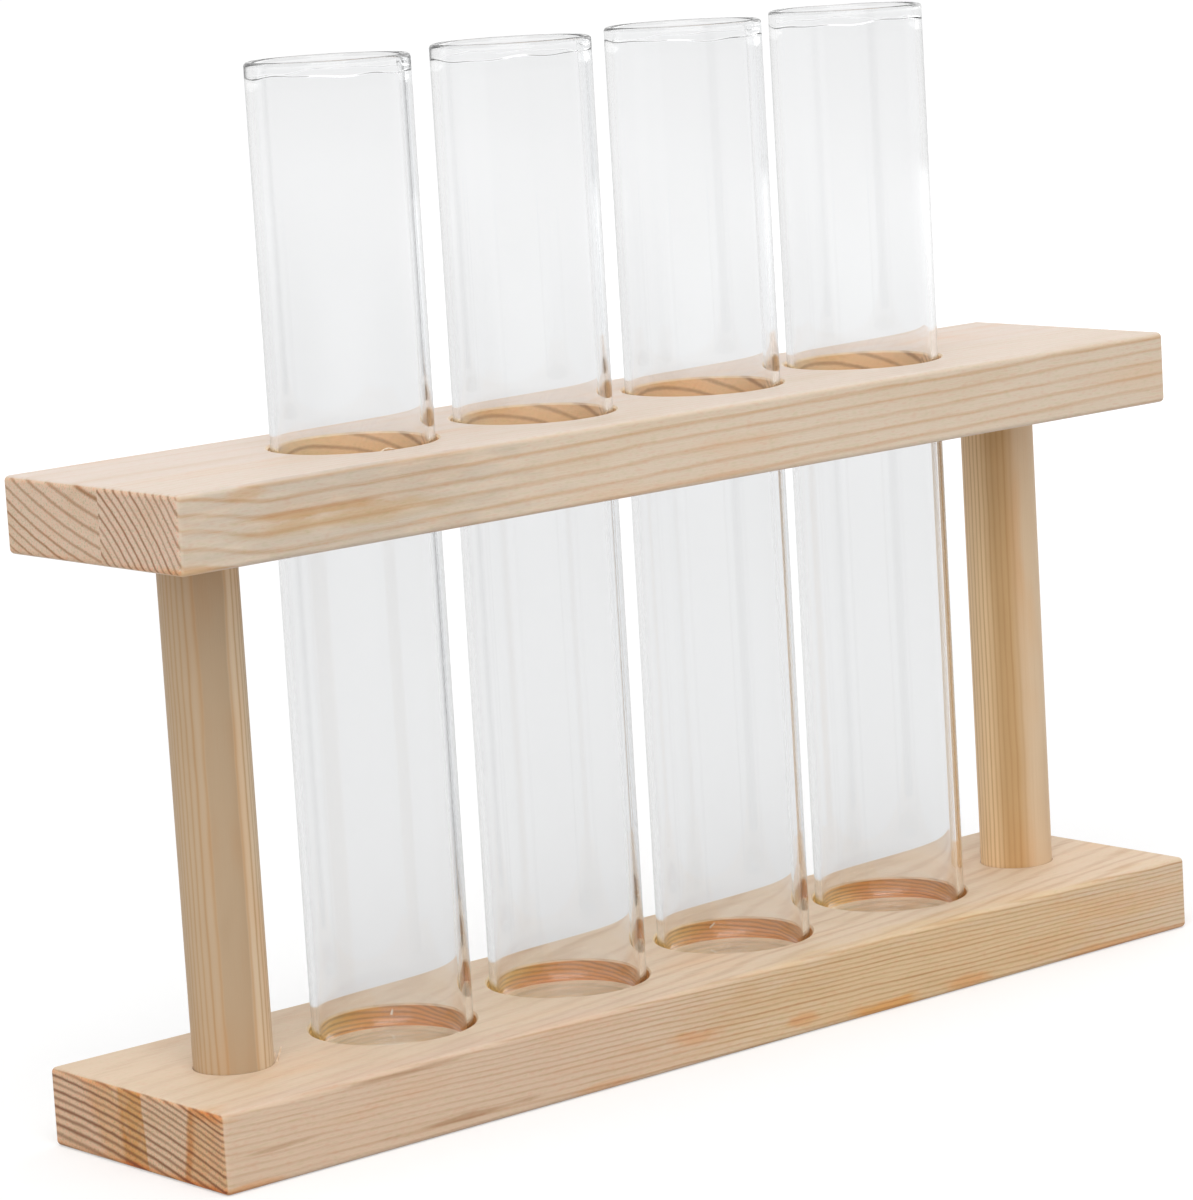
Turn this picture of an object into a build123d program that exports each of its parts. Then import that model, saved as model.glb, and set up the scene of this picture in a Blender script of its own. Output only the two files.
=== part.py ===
from build123d import *
import os

# Test tube vase: a small wooden rack that holds four clear glass tubes upright in a row.
# Sizes are in millimetres. +X runs along the boards, +Y to the back and +Z up.
# The origin is the centre of the base board's underside.

# Glass tubes
tube_count = 4
tube_diameter = 24.6
tube_length = 150.0
tube_wall = 1.05
tube_floor = 1.0
tube_heel_radius = 2.6
tube_foot_width = 1.4
tube_punt_depth = 0.3
tube_corner_radius = 3.3
rim_bead_rise = 0.22
rim_bead_height = 2.4

# Holes that the tubes stand in, and the wood left around them
hole_clearance = 0.45
hole_web = 9.3
hole_side_margin = 9.0
hole_chamfer = 0.3
recess_depth = 4.2

# Boards
base_thickness = 12.0
rail_thickness = 11.6
board_gap = 77.2
board_easing = 0.8
glue_line_setback = 2.3

# Posts, which are dowels glued into blind sockets in both boards
post_diameter = 12.0
post_web = 11.05
post_end_margin = 12.0
post_chamfer = 0.6
socket_skin = 4.0
glue_clearance = 0.1

# Amount by which a cut runs past the face that it starts from
overrun = 1.0

# Sizes and places that follow from the ones above
hole_radius = tube_diameter / 2 + hole_clearance
tube_pitch = 2 * hole_radius + hole_web
row_end_x = tube_pitch * (tube_count - 1) / 2
post_x = row_end_x + hole_radius + post_web + post_diameter / 2
board_length = 2 * (post_x + post_diameter / 2 + post_end_margin)
board_width = 2 * (hole_radius + hole_side_margin)
socket_radius = post_diameter / 2 + glue_clearance
rail_underside = base_thickness + board_gap
rail_top = rail_underside + rail_thickness
recess_floor = base_thickness - recess_depth
post_foot = socket_skin
post_head = rail_top - socket_skin

tube_places = [Pos(tube_pitch * i - row_end_x, 0, 0) for i in range(tube_count)]
post_places = {"left_post": Pos(-post_x, 0, 0), "right_post": Pos(post_x, 0, 0)}


def eased_board(underside, thickness):
    """A plain board at the given height, with all its edges lightly sanded round."""
    blank = Box(board_length, board_width, thickness, align=(Align.CENTER, Align.CENTER, Align.MIN))
    return Pos(0, 0, underside) * fillet(blank.edges(), board_easing)


def round_cutter(radius, low, high):
    """An upright cylinder between two heights, for drilling."""
    cutter = Cylinder(radius, high - low, align=(Align.CENTER, Align.CENTER, Align.MIN))
    return Pos(0, 0, low) * cutter


def chamfer_hole_mouths(board, *heights):
    """Break the edges where the tube holes meet the board's faces at the given heights."""
    mouths = [
        edge
        for edge in board.edges().filter_by(GeomType.CIRCLE)
        if abs(edge.radius - hole_radius) < hole_chamfer
        and any(abs(edge.center().Z - height) < hole_chamfer for height in heights)
    ]
    return chamfer(mouths, hole_chamfer)


def base_board():
    """The lower board: a flat recess under each tube and a blind socket for each post."""
    recess = round_cutter(hole_radius, recess_floor, base_thickness + overrun)
    socket = round_cutter(socket_radius, post_foot, base_thickness + overrun)
    board = eased_board(0, base_thickness)
    board -= [place * recess for place in tube_places]
    board = chamfer_hole_mouths(board, base_thickness)
    return board - [place * socket for place in post_places.values()]


def top_rail():
    """The upper board before it is parted: through holes for the tubes, sockets from below."""
    hole = round_cutter(hole_radius, rail_underside - overrun, rail_top + overrun)
    socket = round_cutter(socket_radius, rail_underside - overrun, post_head)
    board = eased_board(rail_underside, rail_thickness)
    board -= [place * hole for place in tube_places]
    board = chamfer_hole_mouths(board, rail_underside, rail_top)
    return board - [place * socket for place in post_places.values()]


def rail_strips():
    """The two strips that are glued edge to edge along the rail and drilled as one."""
    rail = top_rail()
    glue_line = Plane.XZ.offset(glue_line_setback)
    return {
        "top_rail_front_strip": split(rail, bisect_by=glue_line, keep=Keep.TOP),
        "top_rail_rear_strip": split(rail, bisect_by=glue_line, keep=Keep.BOTTOM),
    }


def post():
    """One dowel, with its hidden ends chamfered, from socket floor to socket ceiling."""
    dowel = round_cutter(post_diameter / 2, post_foot, post_head)
    return chamfer(dowel.edges().filter_by(GeomType.CIRCLE), post_chamfer)


def tube_section():
    """Half the section of a tube that stands on Z = 0, from its axis out to its wall.

    A shallow punt lifts the middle of the underside, so that the tube stands on a narrow
    flat ring. The heel is round. The melted rim is a low bead that stands in from the bore: a
    half circle on top, and inside it two equal arcs that lead back to the bore.
    """
    outer = tube_diameter / 2
    inner = outer - tube_wall
    mouth = inner - rim_bead_rise
    heel = outer - tube_heel_radius
    punt = heel - tube_foot_width
    corner = inner - tube_corner_radius
    rim_start = tube_length - (outer - mouth) / 2
    bore_end = tube_length - rim_bead_height
    bore_start = tube_floor + tube_corner_radius
    bead_turn = ((mouth + inner) / 2, (rim_start + bore_end) / 2)
    with BuildSketch(Plane.XZ) as section:
        with BuildLine():
            TangentArc((0, tube_punt_depth), (punt, 0), tangent=(1, 0))
            Line((punt, 0), (heel, 0))
            TangentArc((heel, 0), (outer, tube_heel_radius), tangent=(1, 0))
            Line((outer, tube_heel_radius), (outer, rim_start))
            TangentArc((outer, rim_start), (mouth, rim_start), tangent=(0, 1))
            TangentArc((mouth, rim_start), bead_turn, tangent=(0, -1))
            TangentArc((inner, bore_end), bead_turn, tangent=(0, 1))
            Line((inner, bore_end), (inner, bore_start))
            TangentArc((inner, bore_start), (corner, tube_floor), tangent=(0, -1))
            Line((corner, tube_floor), (0, tube_floor))
            Line((0, tube_floor), (0, tube_punt_depth))
        make_face()
    return section.sketch


def glass_tubes():
    """The tubes, each standing on the floor of its recess."""
    tube = Pos(0, 0, recess_floor) * revolve(tube_section(), axis=Axis.Z)
    return {f"glass_tube_{i}": place * tube for i, place in enumerate(tube_places, start=1)}


nodes = {"base_board": base_board()}
nodes.update(rail_strips())
nodes.update({name: place * post() for name, place in post_places.items()})
nodes.update(glass_tubes())

os.makedirs("parts", exist_ok=True)
for name, shape in nodes.items():
    export_step(shape, f"parts/{name}.step")

print(f"board {board_length:.1f} x {board_width:.1f} mm, tube pitch {tube_pitch:.2f} mm")
print(f"posts at x = {post_x:.2f} mm, rail top at {rail_top:.1f} mm")
print(f"tube rims at {recess_floor + tube_length:.1f} mm")
print(f"bore from {recess_floor + tube_floor + tube_corner_radius:.2f} to {recess_floor + tube_length - rim_bead_height:.2f} mm")
print(f"a tube clears the rail after {rail_top - recess_floor:.1f} mm")
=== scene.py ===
"""Dress the test tube vase: bare pine boards, dowel posts and four clear glass tubes.

Finishes are worked out in millimetres in the part's own frame: +X along the boards, +Y to the
back and +Z up. Meshes, lamps and the camera are in metres.
"""

from __future__ import annotations

import logging
import math
from collections.abc import Mapping, Sequence
from dataclasses import dataclass
from enum import Enum
from typing import Any, Union

import bmesh
import bpy
from mathutils import Matrix, Vector

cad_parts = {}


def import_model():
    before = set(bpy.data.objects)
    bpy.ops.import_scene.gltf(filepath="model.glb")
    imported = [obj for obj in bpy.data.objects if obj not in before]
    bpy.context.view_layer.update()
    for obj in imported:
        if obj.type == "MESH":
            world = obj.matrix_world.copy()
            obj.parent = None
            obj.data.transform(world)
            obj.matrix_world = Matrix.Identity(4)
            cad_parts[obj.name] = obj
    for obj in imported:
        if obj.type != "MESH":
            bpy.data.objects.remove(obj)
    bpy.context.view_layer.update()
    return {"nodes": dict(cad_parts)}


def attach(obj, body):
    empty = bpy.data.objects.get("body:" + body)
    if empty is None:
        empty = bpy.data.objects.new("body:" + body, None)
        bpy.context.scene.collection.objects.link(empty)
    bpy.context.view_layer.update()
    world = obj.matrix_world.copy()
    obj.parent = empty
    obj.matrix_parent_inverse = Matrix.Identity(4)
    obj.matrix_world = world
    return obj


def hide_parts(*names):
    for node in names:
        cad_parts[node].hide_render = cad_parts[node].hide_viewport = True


log = logging.getLogger("vase")

Point = tuple[float, float, float]
Pair = tuple[float, float]
Colour = tuple[float, float, float, float]

MM = 0.001
WHITE: Colour = (1.0, 1.0, 1.0, 1.0)
BACKDROP_SIDE: Point = (0.5, 0.75, 0.43)


class Blend(Enum):
    """How one colour is laid over another."""

    PLAIN = "MIX"
    STAIN = "MULTIPLY"


def paint(red: int, green: int, blue: int) -> Colour:
    """Turn a colour in the usual 0 to 255 steps into linear light.

    Args:
        red: Red step.
        green: Green step.
        blue: Blue step.

    Returns:
        The colour with an alpha of 1.
    """
    steps = [value / 255.0 for value in (red, green, blue)]
    light = [v / 12.92 if v <= 0.04045 else ((v + 0.055) / 1.055) ** 2.4 for v in steps]
    return (light[0], light[1], light[2], 1.0)


class Sock:
    """One output of a shader node, which can stand in a sum as a number does."""

    def __init__(self, recipe: Recipe, output: bpy.types.NodeSocket) -> None:
        """Keep the output and the recipe that it belongs to."""
        self.recipe = recipe
        self.output = output

    def other(self, name: str) -> Sock:
        """Give another output of the same node."""
        return Sock(self.recipe, self.output.node.outputs[name])

    def _maths(self, operation: str, first: Term, second: Term = 0.0) -> Sock:
        """Add one Math node."""
        return self.recipe.node("ShaderNodeMath", {"operation": operation}, {0: first, 1: second})

    def __add__(self, more: Term) -> Sock:
        """Add."""
        return self._maths("ADD", self, more)

    __radd__ = __add__

    def __sub__(self, less: Term) -> Sock:
        """Subtract."""
        return self._maths("SUBTRACT", self, less)

    def __rsub__(self, start: Term) -> Sock:
        """Subtract this from a number."""
        return self._maths("SUBTRACT", start, self)

    def __mul__(self, times: Term) -> Sock:
        """Multiply."""
        return self._maths("MULTIPLY", self, times)

    __rmul__ = __mul__

    def __truediv__(self, parts: Term) -> Sock:
        """Divide."""
        return self._maths("DIVIDE", self, parts)

    def __pow__(self, power: Term) -> Sock:
        """Raise to a power."""
        return self._maths("POWER", self, power)

    def __abs__(self) -> Sock:
        """Drop the sign."""
        return self._maths("ABSOLUTE", self)

    def fraction(self) -> Sock:
        """Keep what stands after the whole number."""
        return self._maths("FRACT", self)

    def whole(self) -> Sock:
        """Round down to a whole number."""
        return self._maths("FLOOR", self)

    def at_most(self, limit: Term) -> Sock:
        """Take the smaller of two values."""
        return self._maths("MINIMUM", self, limit)

    def at_least(self, limit: Term) -> Sock:
        """Take the larger of two values."""
        return self._maths("MAXIMUM", self, limit)

    def rise(self, low: float, high: float) -> Sock:
        """Rise smoothly from 0 at low to 1 at high, or fall where low is the larger.

        Args:
            low: Value at which the result is 0.
            high: Value at which the result is 1.

        Returns:
            The result, kept between 0 and 1.
        """
        ends = {"Value": self, "From Min": low, "From Max": high}
        return self.recipe.node("ShaderNodeMapRange", {"interpolation_type": "SMOOTHSTEP"}, ends)

    def between(self, low: float, high: float, soft: float) -> Sock:
        """Mark the values between two limits.

        Args:
            low: Lower limit.
            high: Upper limit.
            soft: Width over which each end fades.

        Returns:
            1 between the limits, and 0 outside them.
        """
        return self.rise(low - soft / 2, low + soft / 2) * self.rise(high + soft / 2, high - soft / 2)


Term = Union[Sock, float, int]


class Recipe:
    """A shader's node tree, with one short way to add each node."""

    def __init__(self, tree: bpy.types.NodeTree) -> None:
        """Start on an empty tree."""
        self.tree = tree
        tree.nodes.clear()

    def node(
        self,
        kind: str,
        settings: Mapping[str, Any] | None = None,
        sockets: Mapping[str | int, Any] | None = None,
        out: str | int = 0,
    ) -> Sock:
        """Add a node.

        Args:
            kind: Type of the node.
            settings: The node's own settings, which are set first.
            sockets: Values or links of its inputs, by name or place.
            out: The output that is wanted.

        Returns:
            That output.
        """
        made = self.tree.nodes.new(kind)
        for name, value in (settings or {}).items():
            setattr(made, name, value)
        for name, value in (sockets or {}).items():
            if isinstance(value, Sock):
                self.tree.links.new(value.output, made.inputs[name])
            else:
                made.inputs[name].default_value = value
        return Sock(self, made.outputs[out] if len(made.outputs) else made.inputs[0])

    def mix(
        self, first: Sock | Colour, second: Sock | Colour, share: Term, way: Blend = Blend.PLAIN
    ) -> Sock:
        """Mix two colours.

        Args:
            first: Colour where the share is 0.
            second: Colour that comes in with the share.
            share: How much of the second, from 0 to 1.
            way: How the second is laid over the first.

        Returns:
            The mixed colour.
        """
        settings = {"data_type": "RGBA", "blend_type": way.value}
        return self.node("ShaderNodeMix", settings, {0: share, 6: first, 7: second}, 2)

    def vector(self, operation: str, first: Sock | Point, second: Sock | Point) -> Sock:
        """Work out one step on vectors.

        Args:
            operation: Operation of the Vector Math node.
            first: First vector.
            second: Second vector.

        Returns:
            The resulting vector.
        """
        return self.node("ShaderNodeVectorMath", {"operation": operation}, {0: first, 1: second})

    def length(self, vector: Sock) -> Sock:
        """Measure a vector."""
        return self.node("ShaderNodeVectorMath", {"operation": "LENGTH"}, {0: vector}, "Value")

    def towards(self, vector: Sock, direction: Point) -> Sock:
        """Measure how far a vector reaches in a direction."""
        settings = {"operation": "DOT_PRODUCT"}
        return self.node("ShaderNodeVectorMath", settings, {0: vector, 1: direction}, "Value")

    def draw(self, number: Sock) -> Sock:
        """Give each whole number a value of its own, from 0 to 1."""
        settings = {"noise_dimensions": "1D"}
        return self.node("ShaderNodeTexWhiteNoise", settings, {"W": number}, "Value")

    def rays(self, kind: str) -> Sock:
        """Mark the rays of one kind with 1, and all others with 0."""
        return self.node("ShaderNodeLightPath", None, None, kind)

    def close(self, kind: str, surface: Sock) -> None:
        """End the tree with its output node."""
        self.node(kind, None, {"Surface": surface})


@dataclass(frozen=True)
class Rings:
    """Growth rings round a pith line that runs lengthwise, outside the piece.

    Attributes:
        pith: Where the pith line crosses the piece's section, in millimetres.
        first_radius: Distance from the pith at which the count of rings starts.
        per_mm: Rings for each millimetre outwards, at the start of the count.
        closing: Gain in rings, with the square of the distance.
        offset: Part of a ring that the count is moved by.
        line: Share of a ring that is dark late wood.
        lean: Shift in millimetres of radius for each millimetre along the piece.
        fan: Change of that lean for each millimetre of height over the board's middle.
        steady: Distance from the start of the count at which the rings stop closing up.
    """

    pith: Pair
    first_radius: float
    per_mm: float
    closing: float
    offset: float
    line: float
    lean: float = 0.0
    fan: float = 0.0
    steady: float = 100.0

    def count(self, across: Sock, up: Sock, drift: Term) -> Sock:
        """Count the rings outwards.

        Args:
            across: First coordinate of the section, in millimetres.
            up: Second coordinate of the section, in millimetres.
            drift: Wander of the rings along the piece, in millimetres of radius.

        Returns:
            The ring number with its fraction; a dark line lies at each whole number.
        """
        side, height = across - self.pith[0], up - self.pith[1]
        out = (side * side + height * height) ** 0.5 - self.first_radius + drift
        near = out.at_most(self.steady)
        return out * self.per_mm + near * (out * 2.0 - near) * self.closing + self.offset


@dataclass(frozen=True)
class Spot:
    """A stain on the wood.

    Attributes:
        centre: Its middle, in millimetres.
        reach: How far it spreads along each axis, in millimetres.
        colour: Colour that the wood is multiplied by.
        strength: How much of that colour, from 0 to 1.
    """

    centre: Point
    reach: Point
    colour: Colour
    strength: float


@dataclass(frozen=True)
class Band:
    """An upright band of stain on a sawn end.

    Attributes:
        edges: Its two edges across the board at half height, in millimetres.
        soft: Widths over which the two edges fade, in millimetres.
        slant: Millimetres that it moves across for each millimetre of height.
        colour: Colour that the wood is multiplied by.
        strength: How much of that colour, from 0 to 1.
    """

    edges: Pair
    soft: Pair
    slant: float
    colour: Colour
    strength: float


@dataclass(frozen=True)
class Noise:
    """One layer of soft noise.

    Attributes:
        size: Size of its blobs along each axis, in millimetres.
        seed: Moves the pattern, so that no two layers are alike.
        detail: Octaves of finer noise.
        rough: How strong the finer noise is.
    """

    size: Point
    seed: float
    detail: float = 2.0
    rough: float = 0.5


@dataclass(frozen=True)
class Mottle:
    """How a layer of noise changes the wood's colour both ways.

    Attributes:
        full: Height of the noise at which each stain is full.
        high: Colour that the wood is multiplied by where the noise is high, and its strength.
        low: Colour that it is multiplied by where the noise is low, and its strength.
    """

    full: float
    high: tuple[Colour, float]
    low: tuple[Colour, float]


class WoodRecipe(Recipe):
    """The shader tree of a piece of wood, with the part's coordinates in millimetres."""

    INDEX = 1.45
    # How far a seed moves the noise along each axis
    SEED_STEP: Point = (1.0, 0.37, -0.61)
    # A spot's ragged edge: its noise, how strong that is, and the shares of the spot's reach at
    # which it has gone and at which it is full
    SPOT_NOISE = Noise((9.0, 2.5, 1.6), 4.7, 3.0)
    SPOT_RAGGED = 1.6
    SPOT_FADE = (1.15, 0.35)
    # A band's ragged edges and its patchiness
    BAND_NOISE = Noise((4.0, 2.2, 2.2), 9.4, 3.0)
    BAND_RAGGED = 0.9
    BAND_PATCHY = (1.2, 0.9)

    def __init__(self, tree: bpy.types.NodeTree) -> None:
        """Set up the coordinates.

        Args:
            tree: The material's node tree.
        """
        super().__init__(tree)
        where = self.node("ShaderNodeTexCoord", None, None, "Object")
        self.place = self.vector("MULTIPLY", where, (1 / MM, 1 / MM, 1 / MM))
        self.x = self.node("ShaderNodeSeparateXYZ", None, {0: self.place}, "X")
        self.y, self.z = self.x.other("Y"), self.x.other("Z")
        facing = self.node("ShaderNodeSeparateXYZ", None, {0: where.other("Normal")}, "X")
        self.facing_x, self.facing_z = abs(facing), abs(facing.other("Z"))

    def cloud(self, noise: Noise, seed: float = 0.0) -> Sock:
        """Give soft noise.

        Args:
            noise: The layer.
            seed: The piece's own seed.

        Returns:
            Noise that averages 0 and keeps within about 0.4 of it.
        """
        spread = self.vector("DIVIDE", self.place, noise.size)
        start = tuple((seed + noise.seed) * step for step in self.SEED_STEP)
        moved = self.vector("ADD", spread, start)
        sockets = {"Vector": moved, "Scale": 1.0, "Detail": noise.detail, "Roughness": noise.rough}
        return self.node("ShaderNodeTexNoise", None, sockets) - 0.5

    def mottled(self, colour: Sock, noise: Sock, mottle: Mottle) -> Sock:
        """Stain a colour one way where noise is high, and the other way where it is low.

        Args:
            colour: The wood's colour so far.
            noise: The noise.
            mottle: The two stains.

        Returns:
            The mottled colour.
        """
        for full, (stain, strength) in ((mottle.full, mottle.high), (-mottle.full, mottle.low)):
            colour = self.mix(colour, stain, noise.rise(0.0, full) * strength, Blend.STAIN)
        return colour

    def spotted(self, colour: Sock, spots: Sequence[Spot]) -> Sock:
        """Lay stains over a colour.

        Args:
            colour: The wood's colour so far.
            spots: The stains.

        Returns:
            The colour with the stains on it.
        """
        ragged = self.cloud(self.SPOT_NOISE)
        for spot in spots:
            apart = self.vector("DIVIDE", self.vector("SUBTRACT", self.place, spot.centre), spot.reach)
            away = self.length(apart) + ragged * self.SPOT_RAGGED
            mask = away.rise(*self.SPOT_FADE) * spot.strength
            colour = self.mix(colour, spot.colour, mask, Blend.STAIN)
        return colour

    def banded(self, colour: Sock, bands: Sequence[Band], middle: float) -> Sock:
        """Lay upright bands of stain over the colour of a sawn end.

        Args:
            colour: The end's colour so far.
            bands: The bands.
            middle: Half height of the board, in millimetres.

        Returns:
            The colour with the bands on it.
        """
        ragged = self.cloud(self.BAND_NOISE)
        swing, mean = self.BAND_PATCHY
        patchy = (ragged * swing + mean).at_most(1.0)
        for band in bands:
            across = self.y + (self.z - middle) * band.slant + ragged * self.BAND_RAGGED
            (low, high), (low_soft, high_soft) = band.edges, band.soft
            mask = across.rise(low - low_soft / 2, low + low_soft / 2)
            mask = mask * across.rise(high + high_soft / 2, high - high_soft / 2)
            colour = self.mix(colour, band.colour, mask * patchy * band.strength, Blend.STAIN)
        return colour

    def surface(self, colour: Sock, rough: Term, height: Sock, depth: float) -> Sock:
        """Make the wood's shader.

        Args:
            colour: Base colour.
            rough: Roughness.
            height: Height of the fine relief, from 0 to 1.
            depth: What a height of 1 stands for, in millimetres.

        Returns:
            The shader.
        """
        relief = {"Strength": 1.0, "Distance": depth * MM, "Height": height}
        bump = self.node("ShaderNodeBump", None, relief)
        sockets = {"Base Color": colour, "Roughness": rough, "Normal": bump, "IOR": self.INDEX}
        return self.node("ShaderNodeBsdfPrincipled", None, sockets)


@dataclass(frozen=True)
class Grain:
    """The patterns on a board, as values that its colours are mixed by.

    Attributes:
        crisp: Ring lines, as sharp as a saw or a drill leaves them.
        soft: Ring lines, as sanding leaves them on the long faces.
        streaks: Long streaks.
        fibres: Fine fibres.
        pores: Coarse speckle.
        flecks: Small flecks.
        blotch: Wide patches.
        flat: 1 on the faces that point up or down, and 0 on the others.
    """

    crisp: Sock
    soft: Sock
    streaks: Sock
    fibres: Sock
    pores: Sock
    flecks: Sock
    blotch: Sock
    flat: Sock


@dataclass(frozen=True)
class BoardFinish:
    """Sanded bare pine, from one board with its own growth rings.

    Attributes:
        name: Name of the material.
        rings: The board's growth rings.
        heights: The board's underside and top, in millimetres.
        seed: Moves the noise.
        early: Colour of the early wood on the long faces.
        late: Colour of the late wood on the long faces.
        end_early: Colour of the early wood on the sawn ends.
        end_late: Colour of the late wood on the sawn ends.
        line_strength: Depth of the ring lines on the long faces.
        top_strength: Share of that depth which is left on the wide faces.
        wander: How far the rings stray, in millimetres of radius.
        bored: Colours of the early wood inside the bored holes, on their left and right; brighter and more
            orange than the faces, partly the end grain's own colour and partly painted light from bouncing
            inside the holes.
        bored_late: Colour of the late wood there.
        dip: Shift of the rings over the last stretch at the left end, in millimetres of radius.
        dip_length: Length of that stretch, in millimetres.
        top_sheen_tone: Colour that the wide faces are multiplied by, which makes them paler and cooler:
            painted sheen.
        bored_floor: Colour of the floors of the bored holes, paler than the faces: partly their own colour
            and partly painted light.
        bored_line: Depth of the ring lines on the walls of the bored holes.
        faint_left: Share of the lines' depth that is left at the left end of the long faces.
        edge_warmth: How strongly the sawn ends darken to orange along their edges.
        spots: Stains.
        bands: Bands of stain on the sawn ends.
        board_end: Where the left end lies, in millimetres.
        hole_pitch: Distance from hole to hole, in millimetres.
        hole_row: Half the length of the row, with half a pitch beyond each hole, in millimetres.
        hole_reach: Radius within which the wood counts as bored, in millimetres.
    """

    name: str
    rings: Rings
    heights: Pair
    seed: float
    early: Colour
    late: Colour
    end_early: Colour
    end_late: Colour
    line_strength: float
    top_strength: float
    wander: float
    bored: tuple[Colour, Colour]
    bored_late: Colour
    dip: float = 0.0
    dip_length: float = 20.0
    top_sheen_tone: Colour = WHITE
    bored_floor: Colour = paint(255, 238, 208)
    bored_line: float = 0.8
    faint_left: float = 1.0
    edge_warmth: float = 0.4
    spots: tuple[Spot, ...] = ()
    bands: tuple[Band, ...] = ()
    board_end: float = -100.0
    hole_pitch: float = 34.8
    hole_row: float = 69.6
    hole_reach: float = 13.3

    SLOW_DRIFT = Noise((70.0, 14.0, 14.0), 0.0)
    QUICK_DRIFT = Noise((22.0, 5.0, 5.0), 3.1)
    RIPPLE = Noise((9.0, 3.0, 2.4), 11.0)
    STREAKS = Noise((26.0, 0.5, 0.35), 8.0, 3.0, 0.6)
    FIBRES = Noise((5.0, 0.16, 0.14), 5.0, 2.0, 0.6)
    PORES = Noise((0.7, 0.42, 0.42), 6.0, 2.0, 0.9)
    FLECKS = Noise((1.6, 0.45, 0.4), 7.0, 1.0)
    BLOTCH = Noise((34.0, 9.0, 7.0), 1.3)
    SAWN_SPECKLE = Mottle(0.16, (paint(255, 226, 212), 0.8), (paint(212, 216, 194), 0.7))
    PATCHES = Mottle(0.35, (paint(255, 226, 196), 0.5), (paint(243, 236, 222), 0.6))
    FRECKLES = Mottle(0.3, (paint(252, 236, 230), 0.6), (paint(242, 246, 232), 0.6))
    EDGE_STAIN = paint(255, 205, 140)
    RELIEF_DEPTH = 0.05
    # How far each noise moves the rings, and where it sets in from the left end, in millimetres
    SLOW_SWAY, SLOW_FROM = 2.6, (0.0, 60.0)
    QUICK_SWAY, QUICK_FROM = 0.9, (-6.0, 24.0)
    RIPPLE_SWAY = 0.3
    # Fuzz on the ring lines, in rings, and their fade, in shares of half a line
    CRISP_FUZZ, CRISP_FADE = 0.2, (1.9, 0.1)
    SOFT_FUZZ, SOFT_FADE = 0.06, (1.6, 0.1)
    FAINTEST_RING = 0.6
    # How far a face has to turn to count as an end or as a wide face
    END_FACING, WIDE_FACING = (0.55, 0.85), (0.5, 0.9)
    # Distances from the left end between which faint lines come to their full depth
    FULL_LINES = (30.0, 110.0)
    # Heights off the underside and the top between which the ends' warm edges set in
    WARM_LOW, WARM_HIGH, WARM_HIGH_SHARE = (1.6, 0.2), (1.4, 0.2), 0.6
    # Places across a hole between which its left colour gives way to its right one
    BORED_TURN, BORED_RAGGED = (-5.0, 7.0), 20.0
    # Widths over which the holes and their row end
    HOLE_FADE, ROW_FADE = 0.6, 0.5

    @property
    def middle(self) -> float:
        """Half height of the board, in millimetres."""
        return sum(self.heights) / 2

    def in_holes(self, wood: WoodRecipe) -> tuple[Sock, Sock]:
        """Find the walls and floors of the bored holes.

        Args:
            wood: The board's shader tree.

        Returns:
            A mask of the holes, and the place from left to right in each, in millimetres.
        """
        count = (wood.x + self.hole_row) / self.hole_pitch
        along = count.fraction() * self.hole_pitch - self.hole_pitch / 2
        reach = (along * along + wood.y * wood.y) ** 0.5
        in_row = abs(wood.x).rise(self.hole_row + self.ROW_FADE, self.hole_row - self.ROW_FADE)
        return reach.rise(self.hole_reach, self.hole_reach - self.HOLE_FADE) * in_row, along

    def ring_count(self, wood: WoodRecipe) -> Sock:
        """Count the growth rings, which stray a little along the board.

        Args:
            wood: The board's shader tree.

        Returns:
            The ring number with its fraction.
        """
        from_end = wood.x - self.board_end
        slow = wood.cloud(self.SLOW_DRIFT, self.seed) * (self.SLOW_SWAY * self.wander)
        quick = wood.cloud(self.QUICK_DRIFT, self.seed) * (self.QUICK_SWAY * self.wander)
        ripple = wood.cloud(self.RIPPLE, self.seed) * self.RIPPLE_SWAY
        dip = from_end.rise(0.0, self.dip_length) * self.dip
        lean = from_end * ((wood.z - self.middle) * self.rings.fan + self.rings.lean)
        drift = slow * from_end.rise(*self.SLOW_FROM) + quick * from_end.rise(*self.QUICK_FROM)
        return self.rings.count(wood.y, wood.z, drift + ripple + dip + lean)

    def grain(self, wood: WoodRecipe) -> Grain:
        """Work out the board's patterns.

        Args:
            wood: The board's shader tree.

        Returns:
            The patterns.
        """
        count = self.ring_count(wood)
        ring = (count + 0.5).whole()
        off_line = abs(count - ring)
        depth = wood.draw(ring + self.seed) * (1.0 - self.FAINTEST_RING) + self.FAINTEST_RING
        half = self.rings.line / 2
        crisp_fade = [half * share for share in self.CRISP_FADE]
        soft_fade = [half * share for share in self.SOFT_FADE]
        fibres = wood.cloud(self.FIBRES, self.seed)
        pores = wood.cloud(self.PORES, self.seed)
        return Grain(
            crisp=(off_line + pores * self.CRISP_FUZZ).rise(*crisp_fade) * depth,
            soft=(off_line + fibres * self.SOFT_FUZZ).rise(*soft_fade) * depth,
            streaks=wood.cloud(self.STREAKS, self.seed),
            fibres=fibres,
            pores=pores,
            flecks=wood.cloud(self.FLECKS, self.seed),
            blotch=wood.cloud(self.BLOTCH, self.seed),
            flat=wood.facing_z.rise(*self.WIDE_FACING),
        )

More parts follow.
